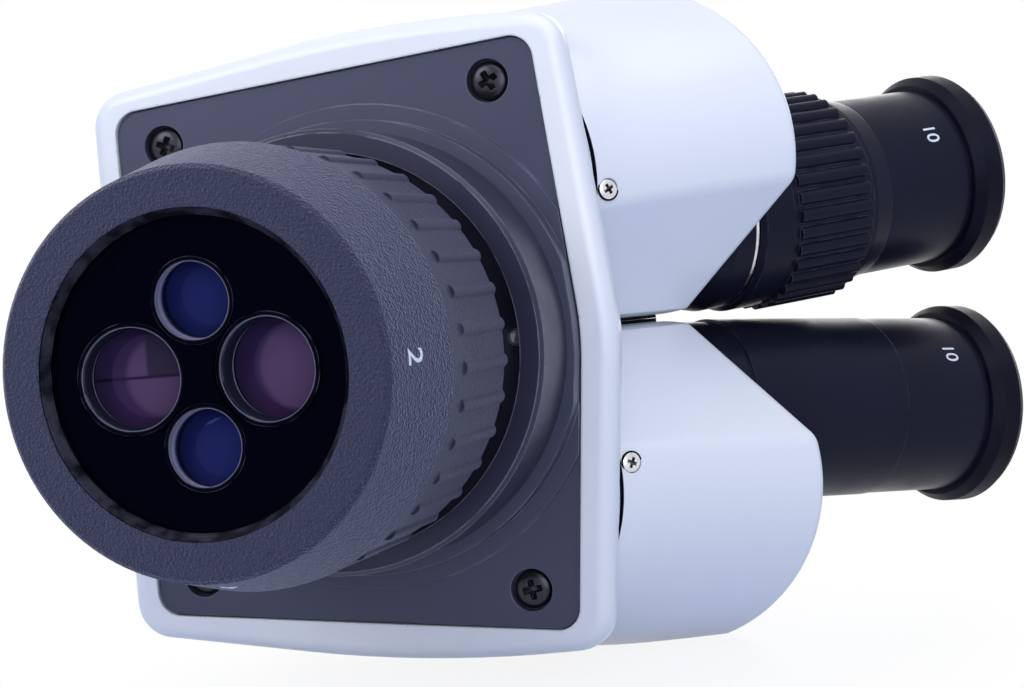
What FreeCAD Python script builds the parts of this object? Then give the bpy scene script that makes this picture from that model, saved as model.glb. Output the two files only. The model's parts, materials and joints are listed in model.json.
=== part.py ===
import FreeCAD, Part
import math
import os

# A binocular stereo microscope head with a two-power turret, without its stand.
# Millimetres. +Z runs up the turret axis, the user sits at -Y, X is the user's right.
# The origin is on the turret axis, on the shoulder where a stand's ring seats.

os.makedirs("parts", exist_ok=True)
Vector = FreeCAD.Vector

# Clearances
running_gap = 0.08
seat_gap = 0.05
pilot_gap = 0.1
part_gap = 0.3
plate_gap = 0.25
big = 300.0

# Directions of the two eye tubes
tube_tilt = 45.0
tube_splay = 4.44
tube_foot_x = 14.0
tube_foot_y = 17.54

# Base plate
plate_face_z = 5.0
plate_thickness = 4.0
plate_rear_y = 49.0
plate_rear_half_width = 50.6
plate_front_half_width = 57.4
plate_corner_y = -38.2
plate_nose_y = -43.6
plate_corner_reach = 4.3
plate_nose_reach = 5.7
plate_ledge = 4.5
plate_ledge_height = 3.0

# Body casting
wall = 4.0
lip_height = 0.8
rear_rim = 6.0
rear_side_rim = 4.4
front_side_rim = 4.1
corner_rim = 6.0
nose_rim = 7.2
side_bow = 2.1
body_rear_y = plate_rear_y + rear_rim
body_rear_half_width = plate_rear_half_width + rear_side_rim
body_corner_half_width = plate_front_half_width + front_side_rim
body_side_half_width = body_corner_half_width + side_bow
body_side_y = -8.0
body_corner_y = plate_corner_y - corner_rim
body_nose_y = plate_nose_y - nose_rim
body_corner_reach = 6.6
body_side_reach = 27.0
body_nose_reach = 6.4
body_top_z = 68.0
body_top_radius = 9.0
body_edge_radius = 3.2
pivot_face_s = 50.0
boss_radius = 5.0

# Plate screws
plate_screw_rear_x = plate_rear_half_width - 7.1
plate_screw_rear_y = plate_rear_y - 9.8
plate_screw_front_x = plate_front_half_width - 8.1
plate_screw_front_y = plate_corner_y + 8.9
plate_screw_head_radius = 3.8
plate_screw_head_height = 2.2
plate_screw_shank_radius = 1.9
plate_screw_length = 9.0
boss_cover = 1.5
counterbore_radius = 4.2
counterbore_depth = 2.6

# Mounting collar
bearing_radius = 26.0
bearing_wall = 3.0
bearing_drop = 12.0
collar_channel = 8.5
collar_wall = 4.5
collar_bore_radius = bearing_radius + bearing_wall + collar_channel
collar_radius = collar_bore_radius + collar_wall
collar_drop = 17.0
collar_chamfer = 0.8
collar_roof_z = -4.0
collar_tail_wall = 3.9
collar_tail_radius = bearing_radius + collar_tail_wall
collar_tail_top_z = 10.0
plate_bore_radius = collar_tail_radius + pilot_gap
shoulder_width = 2.4
shoulder_radius = collar_radius + shoulder_width
step_width = 3.2
step_radius = shoulder_radius + step_width
step_rise = 1.0
collar_screw_circle_radius = collar_bore_radius - collar_channel / 2
collar_screw_radius = 1.5
collar_screw_head_radius = 2.8
collar_screw_count = 4

# Turret
hub_flange_reach = 4.0
grip_radius = 37.4
grip_neck_radius = bearing_radius + bearing_wall
grip_wall = 4.0
grip_edge = 0.8
grip_bottom_z = -58.0
grip_top_z = -26.0
grip_bore_radius = bearing_radius + hub_flange_reach
grip_rib_count = 36
grip_rib_radius = 1.5
grip_rib_sink = 0.8
grip_rib_bottom_z = -51.0
grip_rib_top_z = -27.0
sleeve_overhang = 0.7
sleeve_rear_radius = grip_radius + sleeve_overhang
sleeve_taper = 4.1
sleeve_front_radius = sleeve_rear_radius - sleeve_taper
sleeve_front_z = -78.4
sleeve_spigot_wall = 2.5
sleeve_spigot_length = 9.0
sleeve_edge_radius = 0.8
sleeve_lip_depth = 2.0
sleeve_lip_width = 1.6
hub_radius = bearing_radius - running_gap
hub_wall = 3.4
hub_bore_radius = hub_radius - hub_wall
hub_flange_thickness = 4.0
retaining_ring_width = 2.5
retaining_ring_radius = hub_radius + retaining_ring_width
retaining_ring_height = 2.5
retaining_slot_radius = 1.2

# Objective lenses
lens_plate_z = -75.4
lens_plate_thickness = 3.0
lens_plate_radius = grip_bore_radius - sleeve_spigot_wall - seat_gap
lens_plate_land = 0.4
sleeve_bore_radius = lens_plate_radius - lens_plate_land
sleeve_lip_radius = lens_plate_radius - sleeve_lip_width
cell_face_z = 0.1
lens_circle_radius = 11.97
low_aperture_radius = 6.5
high_aperture_radius = 8.6
cell_wall = 0.75
cell_lip = 0.8
low_cell_length = 22.0
high_cell_length = 30.0
low_lens_thickness = 3.6
high_lens_thickness = 5.0
low_lens_setback = 3.8
high_lens_setback = 4.8
lens_bulge = 0.7

# Click stop
detent_ball_radius = 1.6
detent_angle = 45.0
detent_z = -8.0
detent_notch_depth = 0.4
detent_count = 4
detent_band_thickness = 0.6
detent_band_height = 3.0
detent_band_opening = 40.0

# Prism housings, in the tube's own frame: u outboard, v up and back, s along the tube
pivot_u = 14.0
pivot_v = -7.0
housing_radius = 33.3
housing_draft = 0.06
facet_share = 0.84
facet_angle = 222.3
housing_base_s = 51.6
housing_top_s = 80.0
housing_top_slope = 0.47
housing_back_share = 0.958
housing_corner_radius = 5.0
housing_wall = 3.0
housing_edge_radius = 1.6
housing_foot_radius = 1.2
mid_gap = 0.7
disc_radius = 30.0
disc_thickness = 0.6
prism_base_rise = 2.0
housing_high_s = 112.0
tube_hole_radius = 19.8
pivot_radius = 14.0
pivot_bore_radius = 10.0
pivot_tail_s = 38.0
gear_face_s = 45.6
gear_thickness = 2.6
gear_pitch_angle = 12.0
gear_tooth_rise = 1.2
gear_tooth_sink = 1.7
gear_backlash = 1.2
gear_tooth_count = 6
gear_first_angle = 174.0
pivot_nut_radius = 19.0
pivot_nut_height = 3.0
housing_screw_u = 8.5
housing_screw_s = 54.8
housing_screw_radius = 2.0
housing_screw_length = 6.0
housing_screw_clear = 3.0
skirt_inset = 1.8
tongue_gap = 0.1
lug_width = 8.0
lug_height = 6.0
lug_depth = 11.0
gear_pressure_angle = 20.0

# Image-erecting prisms
prism_half_length = 10.0
prism_nose = 0.8
prism_plate_radius = 26.0
prism_plate_u = 9.0
prism_plate_v = -1.0
prism_width = 10.0
prism_plate_s = 64.0
prism_plate_thickness = 1.0
prism_window_radius = 4.6
prism_post_radius = 2.0
prism_posts = [(24.0, 6.0), (20.0, -20.0), (-8.0, 14.0)]
prism_edge_gap = 0.4
turning_prism_width = 26.0
turning_prism_entry = 13.0
turning_prism_inner_x = 11.0
turning_prism_step = 2.0
bracket_half_length = 42.0
bracket_half_depth = 9.0
bracket_foot = 5.0
turning_prism_z = 14.5
bracket_thickness = 1.8
bracket_window_radius = 6.1

# Eye tubes and eyepieces
tube_radius = 20.2
tube_bore_radius = 15.3
tube_base_s = 60.0
tube_root_depth = 4.0
tube_step_s = 99.4
tube_top_s = 139.6
tube_base_radius = 19.6
left_tube_radius = 17.6
left_tube_top_s = 124.6
nut_radius = 21.2
nut_bottom_s = 97.0
nut_cone_length = 6.0
nut_top_s = 101.8
bright_ring_radius = 20.9
bright_ring_top_s = 102.8
dioptre_radius = 22.3
dioptre_rib_root_radius = 22.2
dioptre_down = 0.6
dioptre_bottom_s = 103.0
dioptre_rib_start_s = 112.8
dioptre_rib_end_s = 131.6
dioptre_top_s = 133.0
dioptre_rib_radius = 1.6
dioptre_rib_sink = 0.4
dioptre_rib_count = 36
dioptre_rib_lead = 1.5
dioptre_edge = 1.0
carrier_radius = 21.0
carrier_tail_radius = 19.4
carrier_bottom_s = 125.8
carrier_shoulder_s = 133.9
carrier_land = 1.2
insert_radius = tube_bore_radius - running_gap
eyepiece_radius = 20.0
eyepiece_insert_length = 24.0
eyepiece_top_s = 165.0
eyepiece_bore_radius = 13.0
field_stop_radius = 10.0
field_stop_s = 146.3
field_stop_thickness = 1.5
field_lens_rise = 2.0
lens_seat_depth = 1.0
cup_radius = 22.8
cup_neck_radius = 21.2
cup_seat_radius = 18.0
cup_mouth_radius = 18.5
cup_bottom_s = 162.6
cup_top_s = 171.0
cup_flare_length = 2.4
cup_round_length = 1.6
cup_round_depth = 1.0
cup_inner_lip = 1.5
eye_lens_radius = 13.5
eye_lens_thickness = 5.0
field_lens_thickness = 4.0


def tube_frame():
    """Right tube's frame: x outboard, y up and back, z along the tube."""
    splay = math.radians(tube_splay)
    tilt = math.radians(tube_tilt)
    reach = math.cos(splay)
    along = Vector(math.sin(splay), -reach * math.cos(tilt), reach * math.sin(tilt))
    back = Vector(0, math.sin(tilt), math.cos(tilt))
    out = back.cross(along)
    foot = Vector(tube_foot_x, tube_foot_y, plate_face_z)
    rows = []
    for axis in ("x", "y", "z"):
        rows += [getattr(out, axis), getattr(back, axis), getattr(along, axis), getattr(foot, axis)]
    return FreeCAD.Placement(FreeCAD.Matrix(*rows, 0, 0, 0, 1))


def tilted(shape):
    """Puts a shape made in the right tube's frame into the head's frame."""
    moved = shape.copy()
    moved.Placement = tube_frame().multiply(moved.Placement)
    return moved


def mirrored(shape):
    return shape.mirror(Vector(0, 0, 0), Vector(1, 0, 0))


def cylinder(radius, z0, z1, x=0.0, y=0.0):
    return Part.makeCylinder(radius, z1 - z0, Vector(x, y, z0))


def ring(outer, inner, z0, z1, x=0.0, y=0.0):
    return cylinder(outer, z0, z1, x, y).cut(cylinder(inner, z0 - 1, z1 + 1, x, y))


def revolved(profile):
    """Turns a closed outline of (radius, height) points about Z."""
    points = [Vector(r, 0, z) for r, z in profile]
    wire = Part.makePolygon(points + [points[0]])
    return Part.Face(wire).revolve(Vector(0, 0, 0), Vector(0, 0, 1), 360)


def joined(shapes):
    whole = shapes[0]
    if len(shapes) > 1:
        whole = whole.fuse(shapes[1:])
    return whole.removeSplitter()


def group(shapes):
    return Part.makeCompound(shapes)


def save(name, shape):
    shape.exportStep("parts/" + name + ".step")


def rounded_outline(corners, z):
    """Closed outline at height z through (x, y, reach) corners, each rounded over its reach both ways."""
    arcs = []
    count = len(corners)
    for i, (x, y, reach) in enumerate(corners):
        here = Vector(x, y, z)
        before = Vector(*corners[i - 1][:2], z) - here
        after = Vector(*corners[(i + 1) % count][:2], z) - here
        before.normalize()
        after.normalize()
        half = before.getAngle(after) / 2
        radius = reach * math.tan(half)
        middle = before + after
        middle.normalize()
        depth = radius / math.sin(half) - radius
        arcs.append((here + before * reach, here + middle * depth, here + after * reach))
    edges = []
    for i, (start, middle, end) in enumerate(arcs):
        edges.append(Part.Arc(start, middle, end).toShape())
        edges.append(Part.makeLine(end, arcs[(i + 1) % count][0]))
    return Part.Wire(edges)


def both_sides(right_corners):
    """Right-hand corners from the rear to the nose, and their mirror images."""
    left = [(-x, y, reach) for x, y, reach in reversed(right_corners) if x > 0]
    return right_corners + left


def prismatic(corners, z0, z1, inset=0.0):
    wire = rounded_outline(corners, z0)
    if inset:
        wire = wire.makeOffset2D(-inset, 0)
    return Part.Face(wire).extrude(Vector(0, 0, z1 - z0))


def plate_corners():
    return both_sides([
        (plate_rear_half_width, plate_rear_y, plate_corner_reach),
        (plate_front_half_width, plate_corner_y, plate_corner_reach),
        (0.0, plate_nose_y, plate_nose_reach),
    ])


def body_corners():
    return both_sides([
        (body_rear_half_width, body_rear_y, body_corner_reach),
        (body_side_half_width, body_side_y, body_side_reach),
        (body_corner_half_width, body_corner_y, body_corner_reach),
        (0.0, body_nose_y, body_nose_reach),
    ])


def above_pivot_faces(s):
    """Everything past the two slanted pivot faces at distance s along the tubes."""
    block = Part.makeBox(big, big, big, Vector(-big / 2, -big / 2, s))
    right = tilted(block)
    return right, mirrored(right)


def screw_places():
    return [
        (plate_screw_rear_x, plate_screw_rear_y),
        (-plate_screw_rear_x, plate_screw_rear_y),
        (plate_screw_front_x, plate_screw_front_y),
        (-plate_screw_front_x, plate_screw_front_y),
    ]


def around(count, radius, start=0.0):
    for i in range(count):
        angle = math.radians(start + 360.0 * i / count)
        yield radius * math.cos(angle), radius * math.sin(angle)


def edges_near(shape, test):
    return [edge for edge in shape.Edges if all(test(vertex.Point) for vertex in edge.Vertexes)]


def gear_room():
    """Room for the nuts and toothed sectors that turn under the two pivot faces."""
    bottom_s = gear_face_s - gear_thickness - pivot_nut_height - part_gap
    room = tilted(cylinder(pivot_nut_radius + part_gap, bottom_s, pivot_face_s, pivot_u, pivot_v))
    return [room, mirrored(room)]


def body_casting():
    lip_z = plate_face_z - lip_height
    plate_back_z = plate_face_z + plate_thickness
    ledge_top_z = plate_back_z + plate_ledge_height
    outer = prismatic(body_corners(), lip_z, body_top_z)
    outer = outer.makeFillet(body_top_radius, edges_near(outer, lambda p: abs(p.z - body_top_z) < 0.01))
    outer = outer.makeFillet(body_edge_radius, edges_near(outer, lambda p: abs(p.z - lip_z) < 0.01))
    for block in above_pivot_faces(pivot_face_s):
        outer = outer.cut(block)
    hollow = prismatic(body_corners(), ledge_top_z, body_top_z - wall, wall)
    for block in above_pivot_faces(pivot_face_s - wall):
        hollow = hollow.cut(block)
    mouth = prismatic(plate_corners(), plate_back_z, ledge_top_z + 1, plate_ledge)
    for block in above_pivot_faces(pivot_face_s - wall):
        mouth = mouth.cut(block)
    recess = prismatic(plate_corners(), lip_z - 1, plate_back_z, -plate_gap)
    body = outer.cut([hollow, mouth, recess])
    boss_top_z = plate_back_z + plate_screw_length + boss_cover
    shell = prismatic(body_corners(), plate_back_z, boss_top_z, wall / 2)
    for block in above_pivot_faces(pivot_face_s - wall / 2):
        shell = shell.cut(block)
    bosses = []
    for x, y in screw_places():
        bosses.append(cylinder(boss_radius, plate_back_z, boss_top_z, x, y).common(shell).cut(gear_room()))
    body = joined([body] + bosses)
    holes = []
    hole_top_z = plate_back_z + plate_screw_length
    for x, y in screw_places():
        holes.append(cylinder(plate_screw_shank_radius, plate_back_z - 1, hole_top_z, x, y))
    bore = cylinder(pivot_radius + running_gap, pivot_tail_s, pivot_face_s + 5, pivot_u, pivot_v)
    return body.cut(holes + [tilted(bore), mirrored(tilted(bore))])


def base_plate():
    back_z = plate_face_z + plate_thickness
    plate = prismatic(plate_corners(), plate_face_z, back_z)
    step = cylinder(step_radius, plate_face_z - step_rise, plate_face_z)
    lands = joined([step, cylinder(shoulder_radius, 0, plate_face_z)])
    plate = joined([plate, lands.common(prismatic(plate_corners(), -1, back_z))])
    cuts = [cylinder(plate_bore_radius, -1, back_z + 1)]
    for x, y in screw_places():
        cuts.append(cylinder(counterbore_radius, -1, plate_face_z + counterbore_depth, x, y))
        cuts.append(cylinder(plate_screw_shank_radius + seat_gap, plate_face_z, back_z + 1, x, y))
    for x, y in around(collar_screw_count, collar_screw_circle_radius):
        cuts.append(cylinder(collar_screw_radius + seat_gap, -1, back_z + 1, x, y))
        cuts.append(countersink(back_z, collar_screw_head_radius + seat_gap, collar_screw_radius, x, y))
    return plate.cut(cuts)


def countersink(face_z, head_radius, shank_radius, x, y):
    """A cone that opens upward at face_z."""
    depth = head_radius - shank_radius
    return Part.makeCone(shank_radius, head_radius, depth, Vector(x, y, face_z - depth))


def base_plate_screws():
    seat_z = plate_face_z + counterbore_depth
    screws = []
    for x, y in screw_places():
        head = cylinder(plate_screw_head_radius, seat_z - plate_screw_head_height, seat_z, x, y)
        rim = edges_near(head, lambda p: abs(p.z - seat_z + plate_screw_head_height) < 0.01)
        head = head.makeFillet(plate_screw_head_height * 0.5, rim)
        shank = cylinder(plate_screw_shank_radius, seat_z, seat_z + plate_screw_length, x, y)
        screws.append(joined([head, shank]))
    return group(screws)


def mounting_collar():
    collar = revolved([
        (bearing_radius, collar_tail_top_z),
        (collar_tail_radius, collar_tail_top_z),
        (collar_tail_radius, 0),
        (collar_radius, 0),
        (collar_radius, -collar_drop + collar_chamfer),
        (collar_radius - collar_chamfer, -collar_drop),
        (collar_bore_radius, -collar_drop),
        (collar_bore_radius, collar_roof_z),
        (bearing_radius + bearing_wall, collar_roof_z),
        (bearing_radius + bearing_wall, -bearing_drop),
        (bearing_radius, -bearing_drop),
    ])
    way_out = bearing_radius + bearing_wall + 1
    cuts = [radial_hole(detent_ball_radius + seat_gap, bearing_radius - 1, way_out)]
    for x, y in around(collar_screw_count, collar_screw_circle_radius):
        cuts.append(cylinder(collar_screw_radius, collar_roof_z - 1, 1, x, y))
    return collar.cut(cuts)


def collar_screws():
    back_z = plate_face_z + plate_thickness
    screws = []
    for x, y in around(collar_screw_count, collar_screw_circle_radius):
        head = countersink(back_z, collar_screw_head_radius, collar_screw_radius, x, y)
        screws.append(joined([head, cylinder(collar_screw_radius, collar_roof_z + 0.5, back_z - 1, x, y)]))
    return group(screws)


def radial_hole(radius, start, end):
    angle = math.radians(detent_angle)
    way = Vector(math.cos(angle), math.sin(angle), 0)
    return Part.makeCylinder(radius, end - start, way * start + Vector(0, 0, detent_z), way)


def detent_ball():
    angle = math.radians(detent_angle)
    reach = hub_radius + running_gap + detent_ball_radius
    centre = Vector(reach * math.cos(angle), reach * math.sin(angle), detent_z)
    return Part.makeSphere(detent_ball_radius, centre)


def detent_band():
    inner = hub_radius + running_gap + 2 * detent_ball_radius + seat_gap
    half_height = detent_band_height / 2
    band = ring(inner + detent_band_thickness, inner, detent_z - half_height, detent_z + half_height)
    gap = Part.makeBox(big, detent_band_opening, big, Vector(0, -detent_band_opening / 2, -big / 2))
    gap.rotate(Vector(0, 0, 0), Vector(0, 0, 1), detent_angle + 180)
    return band.cut(gap)


def turret_grip_ring():
    neck_top_z = -bearing_drop - seat_gap
    flange_bottom_z = grip_top_z - grip_wall
    ring_body = revolved([
        (hub_radius + seat_gap, neck_top_z),
        (grip_neck_radius, neck_top_z),
        (grip_neck_radius, grip_top_z),
        (grip_radius - grip_edge, grip_top_z),
        (grip_radius, grip_top_z - grip_edge),
        (grip_radius, grip_bottom_z),
        (grip_bore_radius, grip_bottom_z),
        (grip_bore_radius, flange_bottom_z),
        (hub_radius + seat_gap, flange_bottom_z),
    ])
    ribs = []
    for x, y in around(grip_rib_count, grip_radius - grip_rib_sink, 5):
        ribs.append(cylinder(grip_rib_radius, grip_rib_bottom_z, grip_rib_top_z, x, y))
    sleeve = cylinder(grip_bore_radius + 1, grip_bottom_z, grip_top_z)
    return ring_body.fuse([rib.cut(sleeve) for rib in ribs])


def turret_hub():
    flange_top_z = grip_top_z - grip_wall - seat_gap
    flange_radius = grip_bore_radius - seat_gap
    top_z = collar_tail_top_z + retaining_ring_height
    hub = revolved([
        (hub_bore_radius, flange_top_z - hub_flange_thickness),
        (flange_radius, flange_top_z - hub_flange_thickness),
        (flange_radius, flange_top_z),
        (hub_radius, flange_top_z),
        (hub_radius, top_z),
        (hub_bore_radius, top_z),
    ])
    notches = []
    for x, y in around(detent_count, hub_radius + detent_ball_radius - detent_notch_depth, detent_angle):
        notches.append(Part.makeSphere(detent_ball_radius + seat_gap, Vector(x, y, detent_z)))
    return hub.cut(notches)


def turret_retaining_ring():
    bottom_z = collar_tail_top_z + seat_gap
    top_z = bottom_z + retaining_ring_height
    slot_z = bottom_z + retaining_ring_height / 2
    blank = ring(retaining_ring_radius, hub_radius + seat_gap / 2, bottom_z, top_z)
    slots = []
    for x, y in around(2, retaining_ring_radius):
        slots.append(cylinder(retaining_slot_radius, slot_z, top_z + 1, x, y))
    return blank.cut(slots)


def turret_sleeve():
    seat_z = grip_bottom_z - seat_gap
    plate_top_z = lens_plate_z + lens_plate_thickness
    return revolved([
        (sleeve_bore_radius, sleeve_front_z),
        (sleeve_front_radius - sleeve_edge_radius, sleeve_front_z),
        (sleeve_front_radius, sleeve_front_z + sleeve_edge_radius),
        (sleeve_rear_radius, seat_z - sleeve_edge_radius),
        (sleeve_rear_radius - sleeve_edge_radius, seat_z),
        (grip_bore_radius - seat_gap, seat_z),
        (grip_bore_radius - seat_gap, seat_z + sleeve_spigot_length),
        (lens_plate_radius + seat_gap, seat_z + sleeve_spigot_length),
        (lens_plate_radius + seat_gap, lens_plate_z),
        (sleeve_lip_radius, lens_plate_z),
        (sleeve_lip_radius, sleeve_front_z + sleeve_lip_depth),
        (sleeve_bore_radius, sleeve_front_z + sleeve_lip_depth),
    ])


def objective(shape, angle):
    """Puts a shape made about Z onto one objective axis, leaning with the light path."""
    leaning = shape.copy()
    leaning.rotate(Vector(0, 0, 0), Vector(0, 1, 0), tube_splay)
    leaning.translate(Vector(lens_circle_radius, 0, lens_plate_z))
    leaning.rotate(Vector(0, 0, 0), Vector(0, 0, 1), angle)
    return leaning


def lens_plate():
    plate = cylinder(lens_plate_radius, lens_plate_z + seat_gap, lens_plate_z + lens_plate_thickness)
    holes = []
    for radius, start in ((low_aperture_radius, 0), (high_aperture_radius, 90)):
        hole = cylinder(radius + cell_wall + seat_gap / 2, -10, 20)
        holes += [objective(hole, start), objective(hole, start + 180)]
    return plate.cut(holes)


def lens_cells(aperture, length, lens_thickness, setback, start):
    lip_z = setback + lens_thickness + seat_gap
    cell = revolved([
        (aperture, cell_face_z),
        (aperture + cell_wall, cell_face_z),
        (aperture + cell_wall, length),
        (aperture - cell_lip, length),
        (aperture - cell_lip, lip_z),
        (aperture, lip_z),
    ])
    return group([objective(cell, start), objective(cell, start + 180)])


def lenses(aperture, lens_thickness, setback, start):
    radius = aperture - seat_gap
    ball_radius = (radius ** 2 + lens_bulge ** 2) / (2 * lens_bulge)
    rim = cylinder(radius, setback, setback + lens_thickness)
    dome = Part.makeSphere(ball_radius, Vector(0, 0, setback + ball_radius))
    lens = rim.common(dome)
    return group([objective(lens, start), objective(lens, start + 180)])


def pivot_reach(s):
    """Distance from the pivot axis to the middle plane, at height s."""
    return tube_frame().multVec(Vector(pivot_u, pivot_v, s)).x / across_share()


def across_share():
    """How much of the outboard direction runs along X."""
    return tube_frame().Rotation.multVec(Vector(1, 0, 0)).x


def housing_reach(s):
    """Outer radius of a housing at height s, wider toward the top."""
    return housing_radius + housing_draft * (s - housing_base_s)


def housing_outline(inset, s):
    """Closed outline of a housing at height s, pushed in by inset."""
    facet = math.radians(facet_angle)
    reach = housing_reach(s)
    outer = reach - inset
    flat = facet_share * reach - inset
    back = pivot_v + housing_back_share * reach - inset
    corner = max(housing_corner_radius - inset, 0.5)
    swing = pivot_reach(s) - (mid_gap + inset) / across_share()
    medial = pivot_u - swing

    def polar(radius, angle):
        return Vector(pivot_u + radius * math.cos(angle), pivot_v + radius * math.sin(angle), s)

    def arc(centre, radius, start, end):
        points = []
        for angle in (start, (start + end) / 2, end):
            points.append(centre + Vector(radius * math.cos(angle), radius * math.sin(angle), 0))
        return Part.Arc(*points).toShape()

    pivot = Vector(pivot_u, pivot_v, s)
    swing_end = facet - math.acos(min(flat / swing, 1.0))
    crease = facet + math.acos((flat - corner) / (outer - corner))
    crease_centre = polar(outer - corner, crease)
    back_end = 2 * math.pi + math.asin((back - pivot_v) / outer)
    corner_centre = Vector(medial + corner, back - corner, s)
    crease_start = crease_centre + Vector(math.cos(facet), math.sin(facet), 0) * corner
    edges = [
        arc(corner_centre, corner, math.pi / 2, math.pi),
        Part.makeLine(Vector(medial, back - corner, s), Vector(medial, pivot_v, s)),
        arc(pivot, swing, math.pi, swing_end),
        Part.makeLine(polar(swing, swing_end), crease_start),
        arc(crease_centre, corner, facet, crease),
        arc(pivot, outer, crease, back_end),
        Part.makeLine(polar(outer, back_end), Vector(medial + corner, back, s)),
    ]
    return Part.Wire(edges)


def housing_block(inset, z0, z1):
    """The housing's outline, pushed in by inset, from z0 to z1 along the tube."""
    return tilted(Part.makeLoft([housing_outline(inset, z0), housing_outline(inset, z1)], True, True))


def above_top_plane(drop):
    """Everything past the housing's slanted top, lowered by drop."""
    lean = math.degrees(math.atan(housing_top_slope))
    block = Part.makeBox(big, big, big, Vector(-big / 2, -big / 2, 0))
    block.rotate(Vector(0, 0, 0), Vector(1, 0, 0), -lean)
    block.translate(Vector(0, 0, housing_top_s - drop))
    return tilted(block)


def housing_screw(radius_gap, head_reach):
    """Side screw through the front wall, and with a gap the hole for it."""
    spread = housing_screw_u - pivot_u
    face = pivot_v - math.sqrt(housing_reach(housing_screw_s) ** 2 - spread ** 2)
    head_depth = housing_screw_radius * 0.5
    place = Vector(housing_screw_u, face - head_reach, housing_screw_s)
    way = Vector(0, 1, 0)
    shank_radius = housing_screw_radius - head_depth + radius_gap
    mouth = Vector(place.x, face, place.z)
    head = Part.makeCone(housing_screw_radius + radius_gap, shank_radius, head_depth, mouth, way)
    shank = Part.makeCylinder(shank_radius, housing_screw_length, mouth, way)
    pieces = [head, shank]
    if head_reach:
        pieces.append(Part.makeCylinder(housing_screw_radius + radius_gap, head_reach, place, way))
    return tilted(joined(pieces))


def housing():
    outer = housing_block(0.0, housing_base_s, housing_high_s)
    outer = outer.cut(above_top_plane(0.0))
    place = tube_frame().inverse()
    lean = housing_top_slope

    def on_top(point):
        local = place.multVec(point)
        return abs(local.z - housing_top_s + lean * local.y) < 0.02

    def on_foot(point):
        return abs(place.multVec(point).z - housing_base_s) < 0.02

    outer = outer.makeFillet(housing_edge_radius, edges_near(outer, on_top))
    outer = outer.makeFillet(housing_foot_radius, edges_near(outer, on_foot))
    inner = housing_block(housing_wall, housing_base_s - 1, housing_high_s)
    inner = inner.cut(above_top_plane(housing_wall))
    shell = outer.cut(inner)
    opening = tilted(cylinder(tube_hole_radius, housing_base_s, housing_high_s))
    return shell.cut([opening, housing_screw(seat_gap, housing_screw_clear)])


def prism_base():
    step_s = housing_base_s - seat_gap
    bottom_s = pivot_face_s + seat_gap + disc_thickness + seat_gap
    skirt = housing_block(skirt_inset, bottom_s, step_s)
    tongue = housing_block(housing_wall + tongue_gap, bottom_s, housing_base_s + prism_base_rise)
    lug_back = pivot_v - housing_radius + lug_depth
    lug_corner = Vector(housing_screw_u - lug_width / 2, lug_back - big, housing_base_s)
    lug = tilted(Part.makeBox(lug_width, big, lug_height, lug_corner))
    lug = lug.common(housing_block(housing_wall + tongue_gap, housing_base_s, housing_base_s + lug_height))
    posts = []
    for u, v in prism_posts:
        posts.append(tilted(cylinder(prism_post_radius, housing_base_s, prism_plate_s - seat_gap, u, v)))
    base = joined([skirt, tongue, lug] + posts)
    hole = tilted(cylinder(pivot_radius + seat_gap, pivot_face_s, housing_base_s + 8, pivot_u, pivot_v))
    return base.cut([hole, housing_screw(0.0, housing_screw_clear)])


def prism_path():
    """Where the light enters, turns over and leaves the prism pair, in the tube's frame."""
    shift = math.hypot(pivot_u, pivot_v)
    side = shift / math.sqrt(2)
    first = math.atan2(-pivot_v, -pivot_u) - math.pi / 4
    entry = Vector(pivot_u, pivot_v, 0)
    turn = entry + Vector(math.cos(first), math.sin(first), 0) * side
    return entry, turn, Vector(0, 0, 0), math.degrees(first)


def porro_prism(centre, angle, face_s, upward):
    """Right-angle prism with its long face at face_s."""
    half = prism_half_length
    rise = half if upward else -half
    tip = rise - math.copysign(prism_nose, rise)
    nose = [Vector(prism_nose, 0, tip), Vector(-prism_nose, 0, tip)]
    points = [Vector(-half, 0, 0), Vector(half, 0, 0)] + nose
    face = Part.Face(Part.makePolygon(points + [points[0]]))
    prism = face.extrude(Vector(0, prism_width, 0))
    prism.translate(Vector(0, -prism_width / 2, 0))
    prism.rotate(Vector(0, 0, 0), Vector(0, 0, 1), angle)
    prism.translate(Vector(centre.x, centre.y, face_s))
    return tilted(prism)


def porro_prisms():
    entry, turn, leave, first = prism_path()
    top_s = prism_plate_s + prism_plate_thickness
    upper = porro_prism((entry + turn) * 0.5, first, top_s + seat_gap, True)
    lower = porro_prism((turn + leave) * 0.5, first + 90, prism_plate_s - seat_gap, False)
    return group([upper, lower])


def prism_plate():
    top_s = prism_plate_s + prism_plate_thickness
    plate = cylinder(prism_plate_radius, prism_plate_s, top_s, prism_plate_u, prism_plate_v)
    windows = []
    for point in prism_path()[:3]:
        windows.append(cylinder(prism_window_radius, prism_plate_s - 1, top_s + 1, point.x, point.y))
    plate = tilted(plate.cut(windows))
    return plate.common(housing_block(housing_wall + prism_edge_gap, prism_plate_s - 2, top_s + 2))


def pivot_sleeve():
    flange_s = pivot_face_s + seat_gap
    sleeve = revolved([
        (pivot_bore_radius, pivot_tail_s),
        (pivot_radius, pivot_tail_s),
        (pivot_radius, flange_s),
        (disc_radius, flange_s),
        (disc_radius, flange_s + disc_thickness),
        (pivot_radius, flange_s + disc_thickness),
        (pivot_radius, housing_base_s + prism_base_rise),
        (pivot_bore_radius, housing_base_s + prism_base_rise),
    ])
    sleeve.translate(Vector(pivot_u, pivot_v, 0))
    return tilted(sleeve)


def pivot_nut():
    top_s = gear_face_s - gear_thickness - seat_gap
    bottom_s = top_s - pivot_nut_height
    return tilted(ring(pivot_nut_radius, pivot_radius + seat_gap / 2, bottom_s, top_s, pivot_u, pivot_v))


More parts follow.
